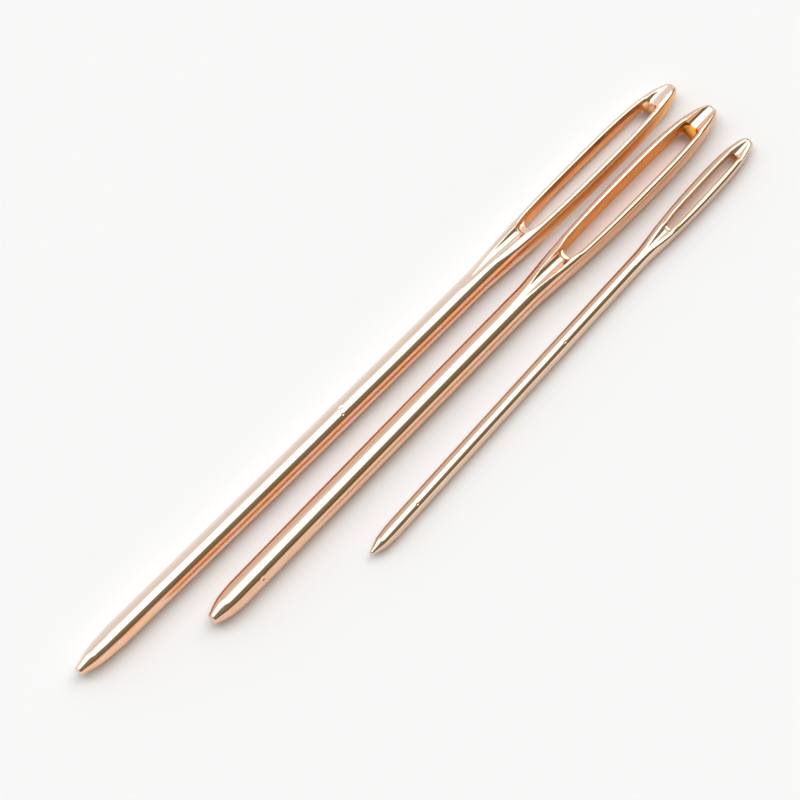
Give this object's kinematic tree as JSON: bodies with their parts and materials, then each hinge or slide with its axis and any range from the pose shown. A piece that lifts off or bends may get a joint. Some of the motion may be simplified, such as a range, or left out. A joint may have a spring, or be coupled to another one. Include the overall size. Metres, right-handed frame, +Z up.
{
  "type": "yarn needle set",
  "caption": "Blunt round-shafted yarn needles in graded sizes, lying side by side, each with a long flared eye and gutters that lead the yarn into it.",
  "frame": {"origin": "on the table, under the middle of the set's footprint", "axes": "+X along the large needle from its blunt tip towards its eye, +Y from the small needle towards the large one, +Z up from the table"},
  "size_m": [0.0706, 0.0118, 0.0022],
  "materials": {
    "copper_rose_plate": "polished steel wire with copper-rose plating",
    "rose_gold_plate": "polished steel wire with rose-gold plating",
    "champagne_plate": "polished steel wire with pale champagne plating"
  },
  "bodies": {
    "medium": {"medium_needle": "rose_gold_plate"},
    "large": {"large_needle": "copper_rose_plate"},
    "small": {"small_needle": "champagne_plate"}
  },
  "joints": [
    {"name": "large_lift", "type": "slide", "parent": "medium", "child": "large", "axis": [0, 0, 1], "range_m": [0, 0.03]},
    {"name": "small_lift", "type": "slide", "parent": "medium", "child": "small", "axis": [0, 0, 1], "range_m": [0, 0.03]}
  ]
}
